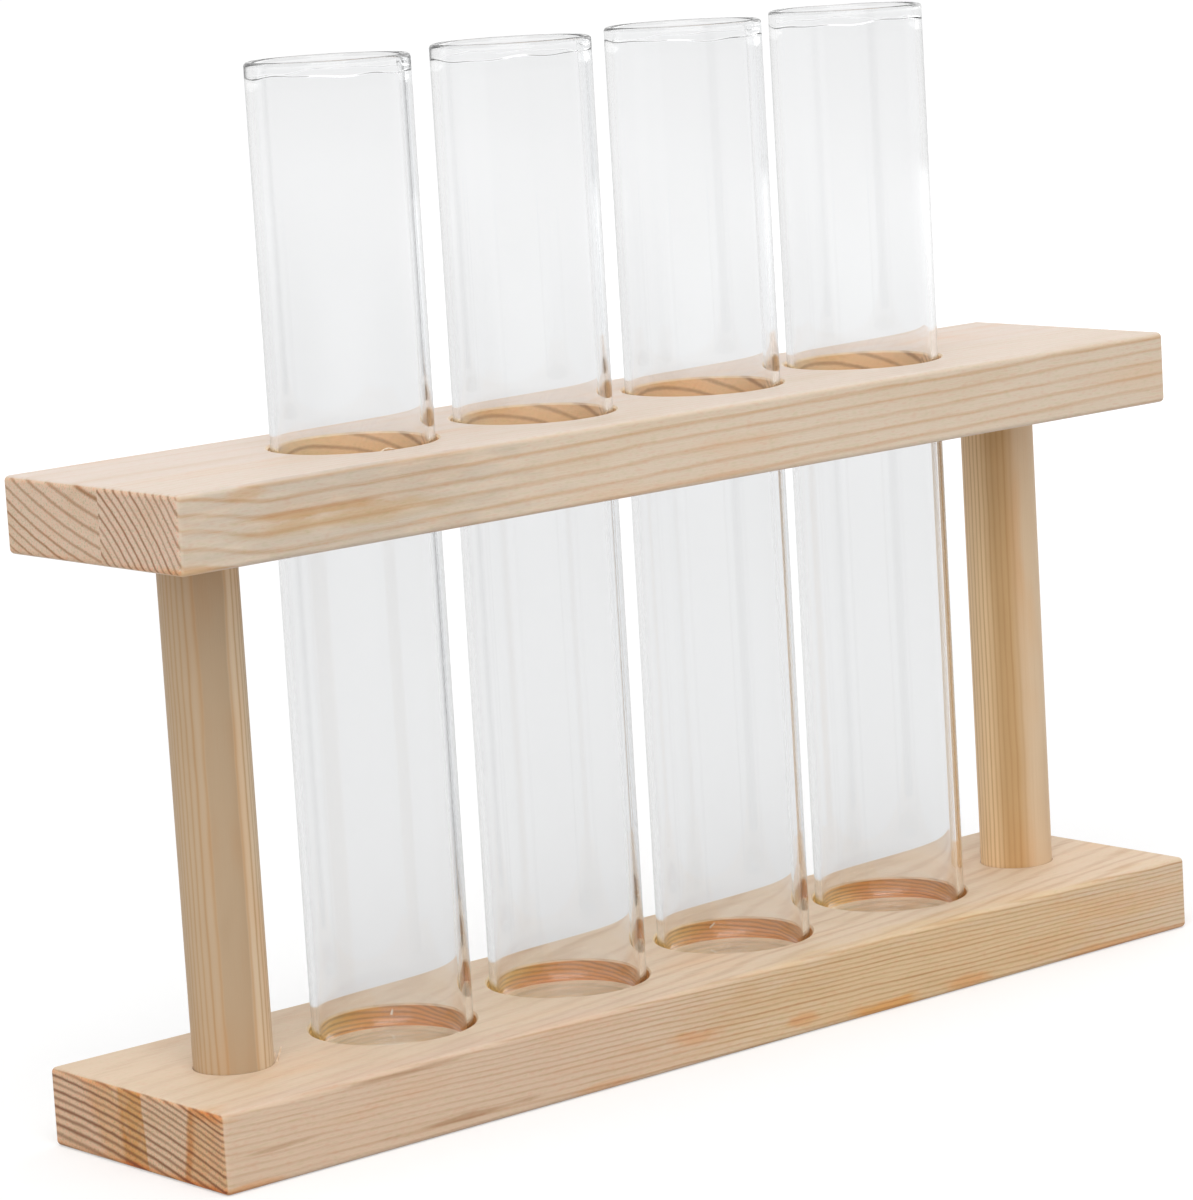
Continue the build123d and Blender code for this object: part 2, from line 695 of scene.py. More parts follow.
    def long_face(self, wood: WoodRecipe, grain: Grain) -> Sock:
        """Colour the sanded faces that run along the board.

        Args:
            wood: The board's shader tree.
            grain: The board's patterns.

        Returns:
            Their colour.
        """
        lines = grain.soft * (1.0 - grain.flat * (1.0 - self.top_strength))
        lines = lines * (grain.streaks * 1.2 + 0.95)
        kept = (wood.x - self.board_end).rise(*self.FULL_LINES) * (1.0 - self.faint_left) + self.faint_left
        late = lines * kept * self.line_strength + grain.streaks * 0.4 + grain.fibres * 0.25
        # The wide faces take a paler, cooler tone: painted sheen
        return wood.mix(wood.mix(self.early, self.late, late), self.top_sheen_tone, grain.flat, Blend.STAIN)

    def sawn_end(self, wood: WoodRecipe, grain: Grain) -> Sock:
        """Colour the sawn ends.

        Args:
            wood: The board's shader tree.
            grain: The board's patterns.

        Returns:
            Their colour.
        """
        low, high = self.heights
        near_low = wood.z.rise(*(low + inwards for inwards in self.WARM_LOW))
        near_high = wood.z.rise(*(high - inwards for inwards in self.WARM_HIGH)) * self.WARM_HIGH_SHARE
        sawn = wood.mix(self.end_early, self.end_late, grain.crisp + grain.pores * 0.35)
        sawn = wood.mottled(sawn, grain.pores, self.SAWN_SPECKLE)
        warm = near_low.at_least(near_high) * (grain.blotch * 2.0 + grain.flecks + 0.8)
        sawn = wood.mix(sawn, self.EDGE_STAIN, warm * self.edge_warmth, Blend.STAIN)
        return wood.banded(sawn, self.bands, self.middle)

    def bored_wood(self, wood: WoodRecipe, grain: Grain, along: Sock) -> Sock:
        """Colour the walls and floors of the holes.

        Args:
            wood: The board's shader tree.
            grain: The board's patterns.
            along: The place from left to right in each hole, in millimetres.

        Returns:
            Their colour.
        """
        # The holes' colours carry painted light: they are brighter than the wood's own colour
        turn = (along + grain.blotch * self.BORED_RAGGED).rise(*self.BORED_TURN)
        early = wood.mix(self.bored[0], self.bored[1], turn)
        late = grain.crisp * self.bored_line + grain.streaks * 0.3 + grain.pores * 0.2
        floor_late = grain.crisp * 0.15 + grain.streaks * 0.2
        walls = wood.mix(early, self.bored_late, late)
        return wood.mix(walls, wood.mix(self.bored_floor, self.bored_late, floor_late), grain.flat)

    def material(self) -> bpy.types.Material:
        """Build the material.

        Returns:
            The material.
        """
        made = new_material(self.name)
        wood = WoodRecipe(made.node_tree)
        grain = self.grain(wood)
        end = wood.facing_x.rise(*self.END_FACING)
        colour = wood.mix(self.long_face(wood, grain), self.sawn_end(wood, grain), end)
        holes, along = self.in_holes(wood)
        colour = wood.mix(colour, self.bored_wood(wood, grain, along), holes)
        colour = wood.mottled(colour, grain.blotch, self.PATCHES)
        colour = wood.mottled(colour, grain.flecks, self.FRECKLES)
        colour = wood.spotted(colour, self.spots)
        relief = (grain.fibres * (1.0 - end) + grain.pores * end) * 0.6 + grain.crisp * 0.35 + 0.5
        rough = 0.62 + grain.fibres * 0.2 - grain.soft * 0.05
        surface = wood.surface(colour, rough, relief, self.RELIEF_DEPTH)
        wood.close("ShaderNodeOutputMaterial", surface)
        return made


@dataclass(frozen=True)
class DowelFinish:
    """Sanded bare dowel, with rings that run along the post.

    Attributes:
        name: Name of the material.
        centre_x: Where the post stands, in millimetres.
        outwards: Direction in plan in which the rings were growing.
        first_line: Depth of the outermost ring line under the surface, in millimetres.
        spacing: Distance between rings, in millimetres.
        early: Colours of the early wood on the post's left, in its middle and on its right; the sides are
            painted lighter than the middle, as painted light and shade round the post.
        late: Colour of the late wood.
        smooth_patch_with_shade: Colour of the outermost, smooth patch, partly the wood's own colour and
            partly painted shade.
        line_strength: Depth of the ring lines.
        sway: How far the rings stray, in millimetres.
        fade: How softly the patch ends, in rings.
        seed: Moves the noise.
        radius: The post's radius, in millimetres.
        to_right: Direction in plan to the post's right, as the camera sees it.
    """

    name: str
    centre_x: float
    outwards: Pair
    first_line: float
    spacing: float
    early: tuple[Colour, Colour, Colour]
    late: Colour
    smooth_patch_with_shade: Colour
    line_strength: float
    sway: float
    fade: float
    seed: float
    radius: float = 6.0
    to_right: Pair = (0.766, -0.643)

    SLOW_DRIFT = Noise((9.0, 9.0, 38.0), 0.0)
    QUICK_DRIFT = Noise((3.0, 3.0, 9.0), 2.0)
    STREAKS = Noise((0.35, 0.35, 24.0), 8.0, 3.0, 0.6)
    FIBRES = Noise((0.16, 0.16, 4.0), 5.0, 2.0, 0.6)
    BLOTCH = Noise((6.0, 6.0, 30.0), 1.3)
    PATCHES = Mottle(0.35, (paint(255, 230, 200), 0.6), (paint(238, 232, 222), 0.6))
    RELIEF_DEPTH = 0.04
    QUICK_SWAY = 0.22
    # Fade of a ring line and of the halo round it, in rings
    LINE_FADE, HALO_FADE = (0.26, 0.0), (0.5, 0.05)
    FAINTEST_RING = 0.4
    # Where the left and right colours, painted lighter as lit sides, give way to the middle one, in
    # millimetres off the axis
    LEFT_TURN, RIGHT_TURN, TURN_RAGGED = (-4.2, -1.4), (2.0, 5.2), 2.0

    def offset(self, wood: WoodRecipe, direction: Pair) -> Sock:
        """Measure how far a point lies off the post's axis in a direction, in millimetres."""
        return (wood.x - self.centre_x) * direction[0] + wood.y * direction[1]

    def material(self) -> bpy.types.Material:
        """Build the material.

        Returns:
            The material.
        """
        made = new_material(self.name)
        wood = WoodRecipe(made.node_tree)
        slow = wood.cloud(self.SLOW_DRIFT, self.seed) * self.sway
        quick = wood.cloud(self.QUICK_DRIFT, self.seed) * self.QUICK_SWAY
        depth = self.radius - self.offset(wood, self.outwards) + slow + quick
        count = (depth - self.first_line) / self.spacing
        ring = (count + 0.5).whole()
        off_line = abs(count - ring)
        inside = count.rise(-0.2 - self.fade / 2, self.fade / 2)
        own_depth = wood.draw(ring + self.seed) * (1.0 - self.FAINTEST_RING) + self.FAINTEST_RING
        line = off_line.rise(*self.LINE_FADE) * own_depth * inside
        halo = off_line.rise(*self.HALO_FADE) * inside
        # Painted light and shade round the post: lighter sides, a darker middle, and the patch in front
        left, centre, right = self.early
        across = self.offset(wood, self.to_right) + slow * self.TURN_RAGGED
        early = wood.mix(left, centre, across.rise(*self.LEFT_TURN))
        early = wood.mix(early, right, across.rise(*self.RIGHT_TURN))
        colour = wood.mix(self.smooth_patch_with_shade, early, inside)
        streaks = wood.cloud(self.STREAKS, self.seed)
        fibres = wood.cloud(self.FIBRES, self.seed)
        shade = line * self.line_strength + halo * (self.line_strength * 0.3) + streaks * 0.3
        colour = wood.mix(colour, self.late, shade)
        colour = wood.mottled(colour, wood.cloud(self.BLOTCH, self.seed), self.PATCHES)
        relief = fibres * 0.6 + line * 0.3 + 0.5
        surface = wood.surface(colour, 0.56 + fibres * 0.2, relief, self.RELIEF_DEPTH)
        wood.close("ShaderNodeOutputMaterial", surface)
        return made


@dataclass(frozen=True)
class GlassFinish:
    """Clear drawn glass with a fire-polished rim.

    Attributes:
        name: Name of the material.
        tint: Colour that light takes at each surface.
        shade: Colour of the light that lamps send through.
        index: Index of refraction.
    """

    name: str = "clear_tube_glass"
    tint: Colour = (0.988, 0.991, 0.994, 1.0)
    shade: Colour = (0.997, 0.998, 0.998, 1.0)
    index: float = 1.47

    def material(self) -> bpy.types.Material:
        """Build the material.

        Returns:
            The material.
        """
        made = new_material(self.name)
        glass = Recipe(made.node_tree)
        sockets = {"Base Color": self.tint, "Roughness": 0.0, "IOR": self.index, "Transmission Weight": 1.0}
        body = glass.node("ShaderNodeBsdfPrincipled", None, sockets)
        clear = glass.node("ShaderNodeBsdfTransparent", None, {"Color": self.shade})
        in_shadow = glass.rays("Is Shadow Ray")
        both = glass.node("ShaderNodeMixShader", None, {0: in_shadow, 1: body, 2: clear})
        glass.close("ShaderNodeOutputMaterial", both)
        return made


def new_material(name: str) -> bpy.types.Material:
    """Make an empty node material.

    Args:
        name: Its name.

    Returns:
        The material.
    """
    made = bpy.data.materials.new(name)
    made.use_nodes = True
    return made


def close_rows(shape: bmesh.types.BMesh, rows: Sequence[Sequence[bmesh.types.BMVert]]) -> None:
    """Join closed rows of vertices, one to the next, with faces.

    Args:
        shape: The mesh that the vertices belong to.
        rows: The rows, which all have the same number of vertices.
    """
    for low, high in zip(rows, rows[1:]):
        for place in range(len(low)):
            after = (place + 1) % len(low)
            shape.faces.new((low[place], low[after], high[after], high[place]))


def finished_mesh(name: str, shape: bmesh.types.BMesh) -> bpy.types.Object:
    """Turn a shape into a smooth piece in the scene.

    Args:
        name: Name of the piece.
        shape: Its closed surface, which is used up.

    Returns:
        The new piece, with its faces turned outwards.
    """
    bmesh.ops.recalc_face_normals(shape, faces=shape.faces)
    for face in shape.faces:
        face.smooth = True
    mesh = bpy.data.meshes.new(name)
    shape.to_mesh(mesh)
    shape.free()
    piece = bpy.data.objects.new(name, mesh)
    bpy.context.scene.collection.objects.link(piece)
    return piece


def put_on(node: bpy.types.Object, material: bpy.types.Material) -> None:
    """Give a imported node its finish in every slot.

    Args:
        node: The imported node.
        material: The finish.
    """
    for slot in node.material_slots:
        slot.material = material
    log.info("%s is finished as %s", node.name, material.name)


BASE_FINISH = BoardFinish(
    name="base_board_pine",
    rings=Rings(
        pith=(35.6, -180.0),
        first_radius=180.53,
        per_mm=0.58,
        closing=0.0155,
        offset=-0.205,
        line=0.4,
        lean=0.034,
        fan=0.0014,
        steady=19.0,
    ),
    heights=(0.0, 12.0),
    seed=11.0,
    early=paint(226, 201, 172),
    late=paint(190, 146, 104),
    end_early=paint(232, 201, 170),
    end_late=paint(140, 96, 64),
    line_strength=0.8,
    top_strength=0.56,
    wander=0.8,
    # Painted light: the holes' colours are brighter than the wood's own colour
    bored=(paint(255, 208, 124), paint(224, 150, 76)),
    bored_late=paint(138, 80, 38),
    bored_line=0.6,
    # Painted sheen: the top is made paler and cooler
    top_sheen_tone=(1.0, 1.025, 1.07, 1.0),
    faint_left=0.5,
    edge_warmth=0.9,
    spots=(
        Spot((-60.0, -21.7, 6.0), (70.0, 6.0, 30.0), paint(250, 246, 250), 0.8),
        Spot((40.0, -21.7, 5.0), (60.0, 6.0, 14.0), paint(255, 248, 226), 0.8),
        Spot((-10.5, -21.7, 4.0), (6.5, 6.0, 1.6), paint(255, 200, 142), 0.5),
        Spot((11.5, -21.7, 2.6), (4.0, 6.0, 1.5), paint(255, 204, 146), 0.45),
        Spot((29.0, -21.7, 0.6), (9.0, 6.0, 1.8), paint(255, 208, 128), 0.7),
        Spot((47.0, -21.7, 1.4), (6.0, 6.0, 1.4), paint(255, 204, 140), 0.5),
        Spot((88.0, -21.7, 0.2), (26.0, 6.0, 1.2), paint(255, 206, 160), 0.5),
        Spot((-28.0, -21.7, 0.6), (9.0, 6.0, 1.0), paint(255, 214, 160), 0.4),
        Spot((-66.0, -21.7, 11.0), (13.0, 4.0, 0.5), paint(214, 196, 178), 0.6),
        Spot((-90.0, -21.7, 5.2), (8.0, 5.0, 0.45), paint(216, 198, 178), 0.6),
        Spot((-56.0, -21.7, 2.0), (15.0, 5.0, 0.5), paint(206, 184, 160), 0.7),
        Spot((-96.0, -21.7, 0.3), (6.0, 5.0, 1.0), paint(255, 208, 150), 0.6),
        Spot((-100.0, -17.5, 11.2), (5.0, 5.0, 1.1), paint(250, 206, 144), 0.7),
        Spot((-100.0, 1.5, 0.4), (5.0, 4.6, 0.8), paint(255, 202, 134), 0.7),
        Spot((-100.0, -16.0, 0.4), (5.0, 6.0, 0.6), paint(255, 212, 150), 0.6),
    ),
    bands=(
        Band((-2.0, 4.0), (0.35, 1.6), -0.09, paint(238, 208, 148), 0.95),
        Band((3.0, 10.5), (2.0, 3.0), -0.45, paint(248, 226, 190), 0.7),
        Band((-14.0, -12.4), (1.4, 0.8), 0.17, paint(234, 200, 150), 0.75),
        Band((-24.0, -12.5), (1.0, 1.2), 0.17, paint(248, 224, 182), 0.7),
        Band((9.5, 24.0), (4.0, 1.0), -0.3, paint(254, 244, 244), 0.5),
    ),
)

# What the rail's two strips have in common
RAIL_WOOD: Mapping[str, Any] = {
    "heights": (89.2, 100.8),
    "wander": 0.35,
    # Painted light: the holes' colours are brighter than the wood's own colour
    "bored": (paint(252, 216, 166), paint(252, 204, 152)),
    "bored_late": paint(158, 96, 54),
    # Painted sheen: the tops are made paler and cooler
    "top_sheen_tone": (0.98, 1.02, 1.13, 1.0),
}

FRONT_FINISH = BoardFinish(
    name="front_strip_pine",
    rings=Rings(
        pith=(24.67, 63.65),
        first_radius=55.315,
        per_mm=0.7372,
        closing=0.0,
        offset=-0.68,
        line=0.3,
        lean=-0.0088,
        fan=0.0005,
    ),
    seed=23.0,
    early=paint(225, 206, 184),
    late=paint(206, 164, 122),
    end_early=paint(232, 206, 184),
    end_late=paint(160, 114, 80),
    line_strength=0.7,
    top_strength=0.35,
    dip=1.35,
    dip_length=17.0,
    spots=(
        Spot((-72.0, -22.4, 95.0), (42.0, 1.6, 40.0), paint(236, 239, 242), 0.9),
        Spot((-88.0, -21.7, 99.4), (4.0, 5.0, 1.3), paint(250, 216, 172), 0.5),
        Spot((-76.0, -21.7, 95.4), (17.0, 5.0, 0.8), paint(246, 216, 168), 0.6),
        Spot((-70.0, -21.7, 93.6), (22.0, 5.0, 1.6), paint(252, 236, 206), 0.7),
        Spot((-99.0, -21.7, 89.6), (8.0, 5.0, 1.0), paint(255, 220, 166), 0.6),
    ),
    **RAIL_WOOD,
)

REAR_FINISH = BoardFinish(
    name="rear_strip_pine",
    rings=Rings(
        pith=(-24.0, 178.0),
        first_radius=82.0,
        per_mm=0.354,
        closing=0.01215,
        offset=0.0,
        line=0.24,
        lean=0.002,
    ),
    seed=37.0,
    early=paint(225, 206, 186),
    late=paint(214, 180, 144),
    end_early=paint(230, 205, 182),
    end_late=paint(170, 124, 84),
    line_strength=0.8,
    top_strength=0.4,
    **RAIL_WOOD,
)

LEFT_POST_FINISH = DowelFinish(
    name="left_post_wood",
    centre_x=-82.0,
    outwards=(-0.360, -0.933),
    first_line=0.5,
    spacing=0.74,
    # Painted light and shade: the sides lighter than the middle, and the patch darkened
    early=(paint(202, 176, 144), paint(198, 172, 141), paint(224, 201, 170)),
    late=paint(186, 142, 92),
    smooth_patch_with_shade=paint(187, 161, 130),
    line_strength=0.5,
    sway=0.35,
    fade=0.0,
    seed=5.0,
)

RIGHT_POST_FINISH = DowelFinish(
    name="right_post_wood",
    centre_x=82.0,
    outwards=(0.2615, -0.965),
    first_line=1.4,
    spacing=0.86,
    # Painted light and shade: the sides lighter than the middle
    early=(paint(246, 213, 168), paint(204, 166, 117), paint(220, 190, 152)),
    late=paint(186, 138, 84),
    smooth_patch_with_shade=paint(225, 197, 163),
    line_strength=0.44,
    sway=0.8,
    fade=2.4,
    seed=9.0,
)


@dataclass(frozen=True)
class Rack:
    """The glued wooden rack: the base board, the rail's two strips and the two posts.

    Attributes:
        nodes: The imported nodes.
    """

    nodes: Mapping[str, bpy.types.Object]

    def dress(self) -> None:
        """Give the boards and posts their finishes."""
        finishes = {
            "base_board": BASE_FINISH,
            "top_rail_front_strip": FRONT_FINISH,
            "top_rail_rear_strip": REAR_FINISH,
            "left_post": LEFT_POST_FINISH,
            "right_post": RIGHT_POST_FINISH,
        }
        for name, finish in finishes.items():
            put_on(self.nodes[name], finish.material())


@dataclass(frozen=True)
class FibreFinish:
    """Torn pine fibre, paler than the sanded face that it lifts from.

    Attributes:
        name: Name of the material.
        light: Colour of the pale strands.
        dark: Colour of the dark strands.
        rough: Roughness.
        relief_depth: Depth of its fine relief, in millimetres.
    """

    name: str = "torn_pine_fibre"
    light: Colour = paint(244, 226, 204)
    dark: Colour = paint(206, 172, 134)
    rough: float = 0.7
    relief_depth: float = 0.02

    STRANDS = Noise((0.5, 0.5, 0.9), 2.0, 2.0, 0.7)
    DARK_STRANDS, DARKEST = (-0.2, 0.3), 0.7

    def material(self) -> bpy.types.Material:
        """Build the material.

        Returns:
            The material.
        """
        made = new_material(self.name)
        wood = WoodRecipe(made.node_tree)
        strands = wood.cloud(self.STRANDS)
        colour = wood.mix(self.light, self.dark, strands.rise(*self.DARK_STRANDS) * self.DARKEST)
        surface = wood.surface(colour, self.rough, strands + 0.5, self.relief_depth)
        wood.close("ShaderNodeOutputMaterial", surface)
        return made


@dataclass(frozen=True)
class Sliver:
    """A torn fibre that the drill or the saw left, still fast at its root.

    Attributes:
        name: Name of the piece.
        root: Where it grows out of the wood, in millimetres.
        tip: Where it ends, in millimetres.
        bow: How far its middle bends aside, in millimetres.
        width: Width at the root, in millimetres.
        thickness: Thickness at the root, in millimetres.
        blunt: Share of the width and thickness that is left at the tip.
        stations: Number of rings of vertices from root to tip.
        sides: Number of vertices in each ring.
    """

    name: str
    root: Point
    tip: Point
    bow: Point
    width: float
    thickness: float
    blunt: float = 0.08
    stations: int = 10
    sides: int = 8

    def build(self, finish: bpy.types.Material) -> None:
        """Make the sliver as a bent, tapering blade that rides on the rack.

        Args:
            finish: Its material.
        """
        root, tip, bow = Vector(self.root), Vector(self.tip), Vector(self.bow)
        along = (tip - root).normalized()
        flat = along.cross(bow).normalized()
        thin = flat.cross(along)
        shape = bmesh.new()
        rows = []
        for step in range(self.stations):
            share = step / (self.stations - 1)
            middle = root.lerp(tip, share) + bow * (4.0 * share * (1.0 - share))
            left = (1.0 - share * share) ** 0.5 + self.blunt
            row = []
            for turn in range(self.sides):
                angle = math.tau * turn / self.sides
                wide = flat * (math.cos(angle) * self.width / 2 * left)
                deep = thin * (math.sin(angle) * self.thickness / 2 * left)
                row.append(shape.verts.new((middle + wide + deep) * MM))
            rows.append(row)
        close_rows(shape, rows)
        shape.faces.new(list(reversed(rows[0])))
        shape.faces.new(rows[-1])
        piece = finished_mesh(self.name, shape)
        piece.data.materials.append(finish)
        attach(piece, "rack")
        log.info("%s is in place", self.name)


SLIVERS = (
    Sliver("left_post_foot_splinter", (-77.1, -3.9, 11.8), (-76.3, -4.4, 14.3), (0.12, 0.1, 0.0), 0.3, 0.16),
    Sliver("left_post_foot_fibre", (-77.3, -3.6, 11.8), (-76.9, -3.5, 13.4), (0.1, 0.12, 0.0), 0.34, 0.14),
    Sliver("right_post_foot_splinter", (77.4, 3.6, 11.8), (77.0, 3.5, 15.2), (-0.14, 0.1, 0.0), 0.4, 0.16),
    Sliver("rail_underside_curl", (77.2, -3.9, 89.4), (76.6, -4.5, 88.9), (-0.1, -0.1, -0.5), 0.45, 0.14),
    Sliver("hole_1_edge_burr", (-56.8, -12.5, 100.65), (-54.3, -13.1, 100.7), (0.0, 0.05, 0.42), 0.5, 0.24),
    Sliver("recess_1_wall_chip", (-44.6, 10.3, 10.2), (-44.4, 10.1, 11.2), (-0.07, -0.09, 0.0), 0.4, 0.12),
    Sliver("recess_3_wall_sliver", (22.3, 11.85, 10.5), (23.3, 11.35, 11.4), (-0.1, -0.14, 0.0), 0.3, 0.12),
)


@dataclass(frozen=True)
class TornFibres:
    """The few torn fibres that show round the holes and the posts.

    Attributes:
        finish: Their finish.
        slivers: The fibres.
    """

    finish: FibreFinish = FibreFinish()
    slivers: tuple[Sliver, ...] = SLIVERS

    def build(self) -> None:
        """Make every sliver."""
        fibre = self.finish.material()
        for sliver in self.slivers:
            sliver.build(fibre)


@dataclass(frozen=True)
class Melt:
    """How the flame has left one tube's rim.

    Attributes:
        turn: Turns the pattern round the tube, in radians.
        sag: How far the bead's lower edge strays up and down, in millimetres.
        waves: The waves in that edge: share of the sag, number round the tube, and start.
        full: Mean rise of the bead, as a share of the most that it has.
        swell: How far that share strays.
        swells: Number of those swells round the tube, and their start.
    """

    turn: float
    sag: float = 0.2
    waves: tuple[Point, ...] = ((1.0, 2, 0.0), (0.6, 5, 1.0), (0.5, 9, 0.0))
    full: float = 0.82
    swell: float = 0.18
    swells: Pair = (3, 0.7)

    def edge(self, angle: float) -> float:
        """Give the height of the bead's lower edge against its mean, in millimetres."""
        turned = angle + self.turn
        return self.sag * sum(size * math.sin(count * turned + start) for size, count, start in self.waves)

    def fullness(self, angle: float) -> float:
        """Give the bead's rise as a share of the most that it has."""
        count, start = self.swells
        return self.full + self.swell * math.sin(count * (angle + self.turn) + start)


def arc(centre: Pair, radius: float, start: float, end: float, steps: int) -> list[Pair]:
    """Divide an arc of a section.

    Args:
        centre: Its centre.
        radius: Its radius.
        start: Angle at which it starts, in degrees.
        end: Angle at which it ends, in degrees.
        steps: Number of parts.

    Returns:
        The points from start to end, both included.
    """
    turns = [math.radians(start + (end - start) * step / steps) for step in range(steps + 1)]
    return [(centre[0] + radius * math.cos(turn), centre[1] + radius * math.sin(turn)) for turn in turns]


@dataclass(frozen=True)
class TubeRow:
    """The four loose glass tubes, each with its own flame-polished rim.

    Their outside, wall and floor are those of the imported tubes. The rim's bead wavers a little,
    as a melted edge does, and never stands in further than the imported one. The punt and the
    inside corner are smaller, and the underside stands clear of the wood, because the pale floor
    of the recess shows through the foot. All sizes are in millimetres.

    Attributes:
        nodes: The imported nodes.
        finish: The glass.
        pitch: Distance from tube to tube.
        first_x: Where the first tube stands.
        foot: Height of the recess floors.
        length: Length of a tube.
        outer: Outside radius.
        inner: Inside radius.
        floor: Thickness of a tube's floor.
        heel: Radius of the round heel.
        foot_width: Width of the flat ring that the tube stands on.
        punt: Height of the hollow in the underside.
        corner: Radius of the inside corner.
        clear_of_wood: Gap between the underside and the recess floor.
        bead_rise: Most that the bead stands in from the bore.
        bead_height: Mean height of the bead.
        shoulder: How far the wall just below the bead stands in from the bore.
        run_out: Share of that shoulder that is lost, at each distance below the bead.
        lead_in: Height over which the bead's face turns into its underside.
        support: Distance from a bend of the vertices that keep it tight.
        ring_inset: Distance from the foot ring's edges of the vertices that keep it flat.
        segments: Number of parts round a tube.
        melts: How each rim has melted.
    """

    nodes: Mapping[str, bpy.types.Object]
    finish: GlassFinish = GlassFinish()
    pitch: float = 34.8
    first_x: float = -52.2
    foot: float = 7.8
    length: float = 150.0
    outer: float = 12.3
    inner: float = 11.25
    floor: float = 1.0
    heel: float = 2.6
    foot_width: float = 1.4
    punt: float = 0.08
    corner: float = 2.0
    clear_of_wood: float = 0.03
    bead_rise: float = 0.22
    bead_height: float = 2.3
    shoulder: float = 0.03
    run_out: tuple[Pair, ...] = ((0.0, 0.12), (0.3, 0.8), (0.8, 1.5), (1.0, 2.1))
    lead_in: float = 0.15
    support: float = 0.35
    ring_inset: float = 0.2
    segments: int = 192
    melts: tuple[Melt, ...] = (Melt(0.4), Melt(2.3), Melt(3.9), Melt(5.5))

    # Number of parts that each curve of the section is divided into
    PUNT_STEPS = 5
    LIP_STEPS = 14
    FLANK_STEPS = 6
    CORNER_STEPS = 12
    # Angles and parts of the heel's first and last stretch, in degrees from level
    HEEL_START = (-90.0, -75.0, 2)
    HEEL_REST = (-65.0, 0.0, 10)

    def underside(self) -> list[Pair]:
        """Divide the section of a tube's foot.

        Returns:
            Points of radius and height from its middle to the top of its heel.
        """
        heel_start = self.outer - self.heel
        punt_edge = heel_start - self.foot_width
        bend = (punt_edge**2 + self.punt**2) / (2 * self.punt)
        radii = [punt_edge * step / self.PUNT_STEPS for step in range(self.PUNT_STEPS + 1)]
        hollow = [self.punt - bend + (bend * bend - radius * radius) ** 0.5 for radius in radii]
        centre = (heel_start, self.heel)
        return [
            *((radius, max(height, self.clear_of_wood)) for radius, height in zip(radii, hollow)),
            (punt_edge + self.ring_inset, self.clear_of_wood),
            (heel_start - self.ring_inset, self.clear_of_wood),
            *arc(centre, self.heel - self.clear_of_wood, *self.HEEL_START),
            *arc(centre, self.heel, *self.HEEL_REST),
        ]

    def section(self, melt: Melt, angle: float) -> list[Pair]:
        """Give the tube's section at one angle round its axis.

        Args:
            melt: How this tube's rim wavers.
            angle: The angle, in radians.

        Returns:
            Points of radius and height from the underside's middle, over the rim, to the floor's.
        """
        wall = self.inner - self.shoulder
        mouth = self.inner - self.bead_rise * melt.fullness(angle)
        flank = wall - mouth
        lip = (self.outer - mouth) / 2
        rim = self.length - lip
        edge = self.length - self.bead_height + melt.edge(angle)
        end_of_bore = edge - self.run_out[-1][1] - self.support
        corner = (self.inner - self.corner, self.floor + self.corner)
        return [
            *self.underside(),
            (self.outer, self.heel + self.support),
            (self.outer, rim - self.support),
            *arc((mouth + lip, rim), lip, 0.0, 180.0, self.LIP_STEPS),
            (mouth, rim - self.support),
            (mouth, edge + flank + self.lead_in),
            *arc((wall, edge + flank), flank, 180.0, 270.0, self.FLANK_STEPS),
            *((wall + self.shoulder * lost, edge - below) for lost, below in self.run_out),
            (self.inner, end_of_bore),
            (self.inner, corner[1] + self.support),
            *arc(corner, self.corner, 0.0, -90.0, self.CORNER_STEPS),
            (corner[0] - self.support, self.floor),
            (corner[0] / 2, self.floor),
            (0.0, self.floor),
        ]

    def build_tube(self, number: int, glass: bpy.types.Material) -> None:
        """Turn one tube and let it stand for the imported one.

        Args:
            number: Number of the tube, from 1 at the left.
            glass: Its material.
        """
        melt = self.melts[number - 1]
        middle = self.first_x + self.pitch * (number - 1)
        angles = [math.tau * step / self.segments for step in range(self.segments)]
        columns = [self.section(melt, angle) for angle in angles]
        shape = bmesh.new()
        rows = []
        for level in range(1, len(columns[0]) - 1):
            row = []
            for angle, column in zip(angles, columns):
                radius, height = column[level]
                place = (middle + radius * math.cos(angle), radius * math.sin(angle), self.foot + height)
                row.append(shape.verts.new([value * MM for value in place]))
            rows.append(row)
        close_rows(shape, rows)
        for row, height in ((rows[0], self.punt), (rows[-1], self.floor)):
            pole = shape.verts.new((middle * MM, 0.0, (self.foot + height) * MM))
            for first, second in zip(row, row[1:] + row[:1]):
                shape.faces.new((first, second, pole))
        piece = finished_mesh(f"drawn_tube_{number}", shape)
        piece.data.materials.append(glass)
        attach(piece, f"tube_{number}")
        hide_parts(f"glass_tube_{number}")
        log.info("%s stands in the rack", piece.name)

    def build(self) -> None:
        """Make all the tubes of the same glass."""
        glass = self.finish.material()
        for number in range(1, len(self.melts) + 1):
            put_on(self.nodes[f"glass_tube_{number}"], glass)
            self.build_tube(number, glass)


@dataclass(frozen=True)
class Softbox:
    """A large soft lamp.

    Attributes:
        name: Name of the lamp.
        place: Where it stands, in metres.
        size: Width and height of its face, in metres.
        power: Power in watts.
        target: What it points at, in metres.
    """

    name: str
    place: Point
    size: Pair
    power: float
    target: Point = (0.0, 0.0, 0.05)

    def build(self) -> None:
        """Put the lamp in the scene."""
        light = bpy.data.lights.new(self.name, "AREA")
        light.shape = "RECTANGLE"
        light.size, light.size_y = self.size
        light.energy = self.power
        lamp = bpy.data.objects.new(self.name, light)
        aim = Vector(self.target) - Vector(self.place)
        turned = aim.to_track_quat("-Z", "Y").to_matrix().to_4x4()
        lamp.matrix_world = Matrix.Translation(self.place) @ turned
        bpy.context.scene.collection.objects.link(lamp)
        log.info("%s is in place", self.name)


